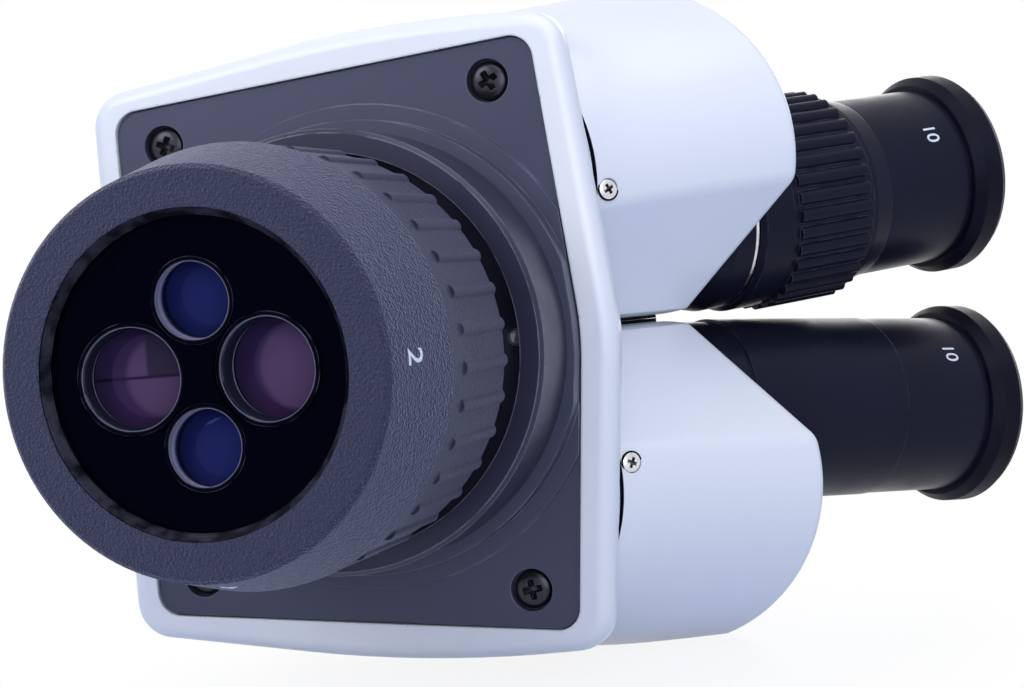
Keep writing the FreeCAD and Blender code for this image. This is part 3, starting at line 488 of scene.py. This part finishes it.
def gloss_black():
    shade = Shade("gloss_black", (0.0006, 0.0007, 0.0040), 0.08,
                  Specular_IOR_Level=0.01, Specular_Tint=BLACK_GLOSS)
    shade.mottle(shade.noise(2500.0, 2.0), low=0.76, high=0.82, share=1.0,
                 colour=(0.02, 0.02, 0.03))
    shade.bump(shade.noise(60.0, 1.0), depth=0.00002, strength=0.15)
    shade.roughen(shade.noise(70.0, 2.0), low=0.06, high=0.12)
    return shade


def rubber():
    shade = Shade("black_rubber", (0.004, 0.004, 0.011), 0.42,
                  Specular_IOR_Level=0.08, Specular_Tint=BLACK_GLOSS)
    shade.rounded(0.0005)
    shade.mottle(shade.noise(80.0, 3.0), low=0.4, high=0.7, share=0.6, colour=(0.014, 0.014, 0.024))
    shade.bump(shade.noise(2000.0, 3.0), depth=0.00003, strength=0.4)
    shade.roughen(shade.noise(200.0, 3.0), low=0.36, high=0.52)
    return shade


def metal(name, colour, rough):
    shade = Shade(name, colour, rough, Metallic=1.0)
    shade.rounded(0.0002)
    shade.mottle(shade.noise(300.0, 3.0), low=0.4, high=0.75, share=0.4, colour=scaled(colour, 0.6))
    # Painted shade: darker deep in recesses, such as the cross in a screw's head
    shade.tint(shade.recess(0.0007), scaled(colour, 0.05))
    shade.bump(shade.noise(900.0, 3.0), depth=0.00003, strength=0.4)
    shade.roughen(shade.noise(500.0, 3.0), low=rough - 0.08, high=rough + 0.12)
    return shade


def numeral_white():
    shade = Shade("numeral_white", (0.80, 0.82, 0.90), 0.5)
    shade.mottle(shade.noise(2500.0, 3.0), low=0.5, high=0.75, share=0.5, colour=(0.45, 0.46, 0.55))
    shade.bump(shade.noise(3000.0, 2.0), depth=0.00001, strength=0.3)
    return shade


def coated_glass(name, body, sheen, clear, level):
    shade = Shade(name, body, 0.03, IOR=1.75, Transmission_Weight=clear,
                  Specular_Tint=(*sheen, 1), Specular_IOR_Level=level)
    shade.mottle(shade.noise(90.0, 2.0), low=0.4, high=0.7, share=0.25, colour=scaled(body, 1.3))
    shade.bump(shade.noise(40.0, 1.0), depth=0.00001, strength=0.1)
    shade.roughen(shade.noise(300.0, 2.0), low=0.02, high=0.05)
    return shade


def violet_glass():
    """The large lenses, with painted reflections of the prisms behind them, painted shade in a
    corner and a dark line.
    """
    shade = coated_glass("violet_glass", (0.030, 0.017, 0.058), (0.45, 0.30, 0.75), 0.05, 0.10)
    for lens_y, shift in zip((-LENS_CIRCLE, LENS_CIRCLE), PRISM_SHIFTS):
        centre = Vector((0.0, lens_y - shift, LENS_PLATE_Z)) * MM
        shade.tint(shade.near(centre, PRISM_RADIUS * MM), PRISM_REFLECTION_COLOUR)
    x, y, soft = shade.axis("X"), shade.axis("Y"), SOFT_EDGE * MM
    # Painted shade in the first lens's inner corner, and a dark line across it
    in_first_lens = shade.ramp(y, -soft, soft)
    outboard = shade.ramp(x, soft, -soft)
    inward = shade.ramp(y, (LENS_CIRCLE - CORNER_START) * MM, (LENS_CIRCLE - CORNER_FULL) * MM)
    shade.tint(shade.times(shade.times(outboard, inward), in_first_lens), CORNER_SHADE_COLOUR)
    line = shade.times(shade.ramp(x, -LINE_REACH * MM, -soft), shade.ramp(x, LINE_REACH * MM, soft))
    shade.tint(shade.times(line, in_first_lens), LINE_COLOUR)
    return shade


LOOKS = {
    "white_paint": white_paint(),
    "black_plate": plate_black(),
    "wrinkle_black": wrinkle_black(),
    "grip_black": grip_black(),
    "collar_black": collar_black(),
    "satin_black": satin_black("satin_black", (0.0085, 0.0090, 0.0200), rough=0.32, level=0.10),
    "screw_black": satin_black("screw_black", (0.008, 0.007, 0.008), rough=0.26, level=0.5),
    "black_steel": satin_black("black_steel", (0.010, 0.010, 0.016), rough=0.36, level=0.3),
    "gloss_black": gloss_black(),
    "black_rubber": rubber(),
    "bright_steel": metal("bright_steel", (0.70, 0.70, 0.76), rough=0.24),
    "brass": metal("brass", (0.72, 0.55, 0.28), rough=0.35),
    "grey_alloy": metal("grey_alloy", (0.45, 0.46, 0.50), rough=0.40),
    "clear_glass": coated_glass("clear_glass", (0.80, 0.84, 0.90), sheen=(0.75, 0.65, 1.0),
                                clear=0.9, level=0.5),
    "blue_glass": coated_glass("blue_glass", (0.011, 0.015, 0.078), sheen=(0.14, 0.20, 1.0),
                               clear=0.05, level=0.10),
    "violet_glass": violet_glass(),
    "cell_black": satin_black("cell_black", (0.0010, 0.0010, 0.0040), rough=0.30, level=0.02),
    "thread_black": satin_black("thread_black", (0.0022, 0.0023, 0.0060), rough=0.25, level=0.06),
    "cell_wall": satin_black("cell_wall", (0.11, 0.11, 0.21), rough=0.45, level=0.4),
    # cell_edge is lighter than the cells: a painted highlight on the apertures' rims and the
    # lenses' edges
    "cell_edge": satin_black("cell_edge", (0.12, 0.12, 0.19), rough=0.35, level=0.5),
    "numeral_white": numeral_white(),
}


def dress_nodes():
    slots = {part["node"]: part["material_slot"] for part in frame["record"]["subparts"]}
    for name, obj in nodes.items():
        slot = slots[name]
        look = NODE_LOOKS.get(name, SLOT_LOOKS.get(slot, slot))
        obj.data.materials.clear()
        obj.data.materials.append(LOOKS[look].material)


# Mesh helpers
def piece(name, mesh, look, body):
    mesh.materials.append(LOOKS[look].material)
    obj = bpy.data.objects.new(name, mesh)
    bpy.context.scene.collection.objects.link(obj)
    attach(obj, body)
    return obj


def mesh_from(work, name):
    """The mesh of a finished bmesh, with its faces turned outward."""
    bmesh.ops.recalc_face_normals(work, faces=work.faces)
    mesh = bpy.data.meshes.new(name)
    work.to_mesh(mesh)
    work.free()
    return mesh


def new_ring(work, place, radius, height, count):
    """Vertices round place's Z."""
    ring = []
    for i in range(count):
        angle = 2 * math.pi * i / count
        x, y = radius * math.cos(angle), radius * math.sin(angle)
        ring.append(work.verts.new(place @ Vector((x * MM, y * MM, height * MM))))
    return ring


def join_rings(work, low, high):
    count = len(low)
    for i in range(count):
        j = (i + 1) % count
        work.faces.new((low[i], low[j], high[j], high[i]))


def lathe_mesh(name, profile, place, count=LATHE_CORNERS):
    """Turns a closed outline of (radius, height) points about place's Z."""
    work = bmesh.new()
    rings = [new_ring(work, place, radius, height, count) for radius, height in profile]
    for low, high in zip(rings, rings[1:] + rings[:1]):
        join_rings(work, low, high)
    mesh = mesh_from(work, name)
    for face in mesh.polygons:
        face.use_smooth = True
    return mesh


def ring_outline(outer, inner, start, end):
    return [(outer, start), (inner, start), (inner, end), (outer, end)]


def solid_from_layers(layers):
    """Closed mesh through two equal grids of points, joined round their borders."""
    work = bmesh.new()
    grids = [[[work.verts.new(point) for point in row] for row in layer] for layer in layers]
    rows, columns = len(layers[0]), len(layers[0][0])
    for grid in grids:
        for low, high in zip(grid, grid[1:]):
            for j in range(columns - 1):
                work.faces.new((low[j], low[j + 1], high[j + 1], high[j]))
    border = [(0, j) for j in range(columns)]
    border += [(i, columns - 1) for i in range(1, rows)]
    border += [(rows - 1, j) for j in range(columns - 2, -1, -1)]
    border += [(i, 0) for i in range(rows - 2, 0, -1)]
    front, rear = grids
    join_rings(work, [front[i][j] for i, j in border], [rear[i][j] for i, j in border])
    return mesh_from(work, "solid")


def smooth_by_angle(obj):
    work = bmesh.new()
    work.from_mesh(obj.data)
    limit = math.radians(SMOOTH_ANGLE)
    for face in work.faces:
        face.smooth = True
    for edge in work.edges:
        edge.smooth = len(edge.link_faces) == 2 and edge.calc_face_angle() < limit
    work.to_mesh(obj.data)
    work.free()


# Screws with cross recesses
def cross_cutter(kind, place):
    """A tapered cross that points down from place's XY plane."""
    levels = (  # height, reach and half width, from the top down
        (CROSS_RISE, kind.reach * 1.1, kind.width * 0.56),
        (-kind.depth * 0.55, kind.reach * 0.72, kind.width * 0.42),
        (-kind.depth, kind.reach * 0.22, kind.width * 0.22))
    work = bmesh.new()
    for turn in (0.0, math.pi / 2):
        spin = Matrix.Rotation(turn, 4, "Z")
        rings = []
        for height, reach, half in levels:
            corners = [Vector((x * reach * MM, y * half * MM, height * MM))
                       for x, y in ((1, 1), (-1, 1), (-1, -1), (1, -1))]
            rings.append([work.verts.new(place @ spin @ corner) for corner in corners])
        for low, high in zip(rings, rings[1:]):
            join_rings(work, low, high)
        work.faces.new(rings[0])
        work.faces.new(rings[-1])
    obj = bpy.data.objects.new("cutter", mesh_from(work, "cutter"))
    bpy.context.scene.collection.objects.link(obj)
    return obj


def cut_cross(obj, kind, place):
    cutter = cross_cutter(kind, place)
    modifier = obj.modifiers.new("recess", "BOOLEAN")
    modifier.operation = "DIFFERENCE"
    modifier.solver = "EXACT"
    modifier.use_self = True
    modifier.object = cutter
    graph = bpy.context.evaluated_depsgraph_get()
    mesh = bpy.data.meshes.new_from_object(obj.evaluated_get(graph))
    obj.modifiers.clear()
    old = obj.data
    obj.data = mesh
    bpy.data.meshes.remove(old)
    bpy.data.objects.remove(cutter)
    smooth_by_angle(obj)


def screw(name, kind, place, turn, look, body):
    """A solid screw that stands on place's Z, with a cross recess in its head."""
    work = bmesh.new()
    tip, *sides, crown = kind.outline
    rings = [new_ring(work, place, radius, height, SCREW_CORNERS) for radius, height in sides]
    for low, high in zip(rings, rings[1:]):
        join_rings(work, low, high)
    for ring, (_, height) in ((rings[0], tip), (rings[-1], crown)):
        middle = work.verts.new(place @ Vector((0, 0, height * MM)))
        for start, end in zip(ring, ring[1:] + ring[:1]):
            work.faces.new((start, end, middle))
    obj = piece(name, mesh_from(work, name), look, body)
    spin = Matrix.Rotation(math.radians(turn), 4, "Z")
    cut_cross(obj, kind, place @ shifted(z=kind.mouth) @ spin)
    return obj


def plate_screws():
    made = []
    for number, (x, y, turn) in enumerate(PLATE_SCREW_PLACES):
        down = shifted(x, y, PLATE_SCREW_SEAT_Z) @ Matrix.Rotation(math.pi, 4, "X")
        made.append(screw("plate_screw_%d" % number, PLATE_SCREW, down, turn,
                          "screw_black", "head"))
    for obj in made:
        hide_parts("base_plate_screws")


def housing_screws():
    spread = HOUSING_SCREW_U - HOUSING_CENTRE_U
    reach = math.sqrt(HOUSING_SCREW_FACE_RADIUS ** 2 - spread ** 2)
    for side, label in SIDES:
        body = label + "_side"
        foot, out, back, along = tube_axes(side)
        point = tube_point(side, HOUSING_SCREW_U, HOUSING_CENTRE_V - reach, HOUSING_SCREW_S)
        axes = Matrix((out * side, -along, -back)).transposed()
        place = Matrix.Translation(point) @ axes.to_4x4()
        # A dark ring round the head: painted shade in the gap round the screw
        gap_shade_ring = ring_outline(SCREW_SHADE_OUTER, SCREW_SHADE_INNER, SCREW_SHADE_TOP, SCREW_SHADE_BOTTOM)
        piece(label + "_housing_screw_gap_shade", lathe_mesh("gap_shade_ring", gap_shade_ring, place, SCREW_CORNERS),
              "cell_black", body)
        obj = screw(label + "_housing_screw_detail", HOUSING_SCREW, place,
                    HOUSING_SCREW_TURNS[label], "bright_steel", body)
        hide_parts(label + "_housing_screw")


# Dark line at each housing's foot and dark strip between the housings, both painted shade in the
# gaps
def foot_point(side, angle, s, lift):
    """A point over a housing's round front near its foot, where the fillet draws it in."""
    below = max(HOUSING_FOOT_S + HOUSING_FILLET - s, 0.0)
    drawn_in = HOUSING_FILLET - math.sqrt(HOUSING_FILLET ** 2 - below ** 2)
    radius = housing_radius(s) - drawn_in + lift
    return tube_point(side, HOUSING_CENTRE_U + radius * math.cos(angle),
                      HOUSING_CENTRE_V + radius * math.sin(angle), s)


def foot_shadows():
    for side, label in SIDES:
        layers = []
        for lift in FOOT_SHADOW_LIFTS:
            layer = []
            for i in range(FOOT_SHADOW_COLUMNS + 1):
                share = i / FOOT_SHADOW_COLUMNS
                angle = FOOT_SHADOW_START + (FOOT_SHADOW_END - FOOT_SHADOW_START) * share
                height = FOOT_SHADOW_LEAST + FOOT_SHADOW_SWELL * math.sin(math.pi * share)
                levels = [HOUSING_FOOT_S + FOOT_SHADOW_RISE + height * j / FOOT_SHADOW_ROWS
                          for j in range(FOOT_SHADOW_ROWS + 1)]
                layer.append([foot_point(side, math.radians(angle), s, lift) for s in levels])
            layers.append(layer)
        # A dark sheet over the housing's foot: painted shade where the gap at the foot is shaded
        piece(label + "_foot_shadow", solid_from_layers(layers), "cell_black",
              label + "_side")


def inner_point(side, x, v, s):
    """The point at v and s of a tube's frame that lies x from the middle plane."""
    foot, out, back, along = tube_axes(1)
    u = (x * MM - foot.x - along.x * s * MM) / out.x / MM
    return tube_point(side, u, v, s)


def gap_shade_strips():
    for side, label in SIDES:
        layers = []
        for x in GAP_SHADE_FACES_X:
            layer = []
            for v in GAP_SHADE_EDGES_V:
                ends = (GAP_SHADE_FOOT_S, GAP_SHADE_TOP_S - GAP_SHADE_TOP_SLOPE * v)
                layer.append([inner_point(side, x, v, s) for s in ends])
            layers.append(layer)
        # A dark strip on the housing's inner side: painted shade in the gap between the housings
        piece(label + "_gap_shade_strip", solid_from_layers(layers), "black_rubber",
              label + "_side")


# Rings in the objectives
def low_power_lining(number, place, radius, setback):
    outline = ring_outline(radius - BORE_GAP, radius - LINING_INSET, LINING_START,
                           setback + LINING_PAST_LENS)
    piece("low_power_lining_%d" % number, lathe_mesh("lining", outline, place),
          "cell_wall", "turret")


def high_power_rings(number, place, radius, setback):
    bore, crest, back = radius - BORE_GAP, radius - LOCK_INSET, radius + BORE_GAP
    end = setback - LOCK_SHORT_OF_LENS
    outline = [(bore, LOCK_START)]
    for i in range(LOCK_TURNS):
        level = LOCK_FIRST_TURN + i * LOCK_PITCH
        outline += [(bore, level), (crest, level + LOCK_CREST_START),
                    (crest, level + LOCK_CREST_END), (bore, level + LOCK_TURN_END)]
    outline += [(bore, end), (back, end), (back, LOCK_START)]
    piece("high_power_lock_ring_%d" % number, lathe_mesh("turns", outline, place),
          "satin_black", "turret")
    # A lighter ring at the lens's edge, a painted highlight
    outline = ring_outline(bore, radius - LENS_EDGE_INSET, setback - LENS_EDGE_START,
                           setback - LENS_EDGE_END)
    piece("high_power_lens_edge_%d" % number, lathe_mesh("edge", outline, place),
          "cell_edge", "turret")


def objective_rings():
    inside = {"low": low_power_lining, "high": high_power_rings}
    for label, radius, setback, start in OBJECTIVES:
        for number, angle in enumerate((start, start + 180)):
            place = objective_place(angle)
            # A lighter ring inside the aperture's rim, a painted highlight
            outline = ring_outline(radius - BORE_GAP, radius - RIM_INSET, RIM_START, RIM_END)
            piece("%s_power_rim_%d" % (label, number), lathe_mesh("rim", outline, place),
                  "cell_edge", "turret")
            inside[label](number, place, radius, setback)


def bore_thread():
    """Fine turned ridges that narrow from the mouth of the turret sleeve to its lip."""
    (mouth_radius, mouth_z), (lip_radius, lip_z) = SLEEVE_MOUTH, SLEEVE_LIP
    back, wall, top = mouth_radius + RIDGE_BACK, lip_radius + RIDGE_LIP_WALL, lip_z + RIDGE_TOP
    profile = [(back, mouth_z)]
    for i in range(RIDGES):
        start, middle = i / RIDGES, (i + 0.5) / RIDGES
        for share, cut in ((start, 0.0), (start + RIDGE_FLANK, RIDGE_CUT), (middle, RIDGE_CUT),
                           (middle + RIDGE_FLANK, 0.0)):
            radius = mouth_radius + (lip_radius - mouth_radius) * share + cut * RIDGE_CUT_OUT
            z = mouth_z + (lip_z - mouth_z) * share + cut * RIDGE_CUT_UP
            profile.append((radius, z))
    profile += [(lip_radius, lip_z), (lip_radius, LENS_PLATE_Z), (wall, LENS_PLATE_Z),
                (wall, top), (back, top)]
    piece("turret_bore_thread", lathe_mesh("thread", profile, shifted(), RIDGE_CORNERS),
          "thread_black", "turret")


# Numbers
def number_mesh(text, height, wrap):
    """Digits of the built-in font, cut into strips and laid on a surface by wrap(x, y, lift)."""
    curve = bpy.data.curves.new("text", "FONT")
    curve.body = text
    curve.size = height * FONT_SIZE_PER_HEIGHT
    curve.align_x = "CENTER"
    curve.align_y = "CENTER"
    curve.extrude = NUMBER_RELIEF
    curve.offset = NUMBER_BOLDNESS
    temporary = bpy.data.objects.new("text", curve)
    bpy.context.scene.collection.objects.link(temporary)
    graph = bpy.context.evaluated_depsgraph_get()
    mesh = bpy.data.meshes.new_from_object(temporary.evaluated_get(graph))
    bpy.data.objects.remove(temporary)
    work = bmesh.new()
    work.from_mesh(mesh)
    reach = height * len(text)
    position = -reach
    while position < reach:
        geometry = work.verts[:] + work.edges[:] + work.faces[:]
        bmesh.ops.bisect_plane(work, geom=geometry, plane_co=(position, 0, 0), plane_no=(1, 0, 0))
        position += NUMBER_STRIP
    for vertex in work.verts:
        vertex.co = wrap(*vertex.co)
    work.to_mesh(mesh)
    work.free()
    return mesh


def sleeve_wrap(angle):
    """Lays a number on the turret's cone."""
    (front_radius, front_z), (rear_radius, rear_z) = SLEEVE_FRONT, SLEEVE_REAR

    def wrap(x, y, lift):
        z = SLEEVE_NUMBER_Z + y
        share = (z - front_z) / (rear_z - front_z)
        radius = front_radius + share * (rear_radius - front_radius) + lift
        turn = math.radians(angle) + x / radius
        return Vector((radius * math.cos(turn), radius * math.sin(turn), z)) * MM
    return wrap


def barrel_wrap(side, angle):
    """Lays a number on an eyepiece's barrel."""
    foot, out, back, along = tube_axes(side)

    def wrap(x, y, lift):
        radius = BARREL_RADIUS + lift
        turn = math.radians(angle) + side * x / radius
        round_tube = out * (radius * math.cos(turn)) + back * (radius * math.sin(turn))
        return foot + (round_tube + along * (EYEPIECE_NUMBER_S + y)) * MM
    return wrap


def numbers():
    for text, angle in SLEEVE_NUMBERS:
        mesh = number_mesh(text, SLEEVE_NUMBER_HEIGHT, sleeve_wrap(angle))
        piece("turret_number_" + text, mesh, "numeral_white", "turret")
    for side, label, angle in EYEPIECE_NUMBER_PLACES:
        mesh = number_mesh(EYEPIECE_NUMBER, EYEPIECE_NUMBER_HEIGHT, barrel_wrap(side, angle))
        piece(label + "_eyepiece_number", mesh, "numeral_white",
              label + "_eyepiece")


# Floor, world and lamps
def seen_rays(tree):
    """1 for a ray that carries the picture: seen directly, in a reflection or through glass."""
    path = add_node(tree, "LightPath")
    total = path.outputs["Is Camera Ray"]
    for kind in ("Is Glossy Ray", "Is Transmission Ray"):
        total = combine(tree, "MAXIMUM", total, path.outputs[kind])
    return total


def floor_material():
    """Pale with a shadow near the object, white away from it, and clear from below."""
    material = bpy.data.materials.new("floor")
    material.use_nodes = True
    tree = material.node_tree
    tree.nodes.clear()
    pale = add_node(tree, "BsdfPrincipled", Base_Color=(*FLOOR_COLOUR, 1),
                    Roughness=FLOOR_ROUGHNESS)
    white = add_node(tree, "Emission", Strength=1.0)
    coords = add_node(tree, "TexCoord").outputs["Object"]
    fade = add_node(tree, "MapRange", From_Min=FLOOR_FADE_START, From_Max=FLOOR_FADE_END,
                    To_Min=FLOOR_NEAR_WHITE, To_Max=1.0)
    fade.interpolation_type = "SMOOTHSTEP"
    tree.links.new(distance(tree, coords, OBJECT_MIDDLE), fade.inputs["Value"])
    share = combine(tree, "MULTIPLY", fade.outputs["Result"], seen_rays(tree))
    top = mix_shaders(tree, share, pale.outputs["BSDF"], white.outputs["Emission"])
    backfacing = add_node(tree, "NewGeometry").outputs["Backfacing"]
    clear = add_node(tree, "BsdfTransparent").outputs["BSDF"]
    surface = mix_shaders(tree, backfacing, top, clear)
    tree.links.new(surface, add_node(tree, "OutputMaterial").inputs["Surface"])
    return material


def floor():
    mesh = bpy.data.meshes.new("floor")
    corners = [(FLOOR_X, y * FLOOR_REACH, z * FLOOR_REACH)
               for y, z in ((-1, -1), (-1, 1), (1, 1), (1, -1))]
    mesh.from_pydata(corners, [], [(0, 1, 2, 3)])
    mesh.materials.append(floor_material())
    obj = bpy.data.objects.new("floor", mesh)
    bpy.context.scene.collection.objects.link(obj)


def world():
    studio = bpy.data.worlds.new("studio")
    bpy.context.scene.world = studio
    studio.use_nodes = True
    tree = studio.node_tree
    tree.nodes.clear()
    sky = add_node(tree, "Background", Color=(*SKY_COLOUR, 1), Strength=SKY_LEVEL)
    white = add_node(tree, "Background", Color=(1, 1, 1, 1), Strength=1.0)
    surface = mix_shaders(tree, seen_rays(tree), sky.outputs["Background"],
                          white.outputs["Background"])
    tree.links.new(surface, add_node(tree, "OutputWorld").inputs["Surface"])


def lamps():
    for name, place, width, power in LAMPS:
        data = bpy.data.lights.new(name, "AREA")
        data.shape = "DISK"
        data.size = width
        data.energy = power
        data.color = LAMP_COLOUR
        obj = bpy.data.objects.new(name, data)
        obj.location = place
        way = Vector(OBJECT_MIDDLE) - Vector(place)
        obj.rotation_mode = "QUATERNION"
        obj.rotation_quaternion = way.to_track_quat("-Z", "Y")
        bpy.context.scene.collection.objects.link(obj)


make_camera()
dress_nodes()
plate_screws()
housing_screws()
foot_shadows()
gap_shade_strips()
objective_rings()
bore_thread()
numbers()
floor()
world()
lamps()

bpy.context.scene.view_settings.view_transform = "Standard"
